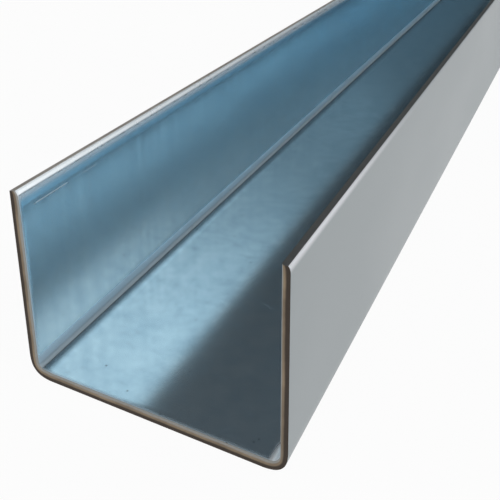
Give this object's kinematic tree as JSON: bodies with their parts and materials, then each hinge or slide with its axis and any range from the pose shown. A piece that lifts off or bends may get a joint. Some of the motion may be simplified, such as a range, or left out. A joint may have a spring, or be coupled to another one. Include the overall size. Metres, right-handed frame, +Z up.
{
  "type": "sandwich panel u-profile",
  "caption": "Straight length of sheet steel folded to a U-section that slips over the edge of a sandwich panel and caps it, bare zinc in the pocket and a light grey coat outside.",
  "frame": {"origin": "middle of the web's underside, halfway along the bar", "axes": "+X across the pocket, +Y along the bar, +Z up from the web to the flange tips"},
  "size_m": [0.0426, 1, 0.0312],
  "materials": {
    "coated_sheet": "galvanised sheet steel, satin light grey coat outside and bare zinc in the pocket"
  },
  "bodies": {
    "root": {"u_profile": "coated_sheet"}
  },
  "joints": []
}
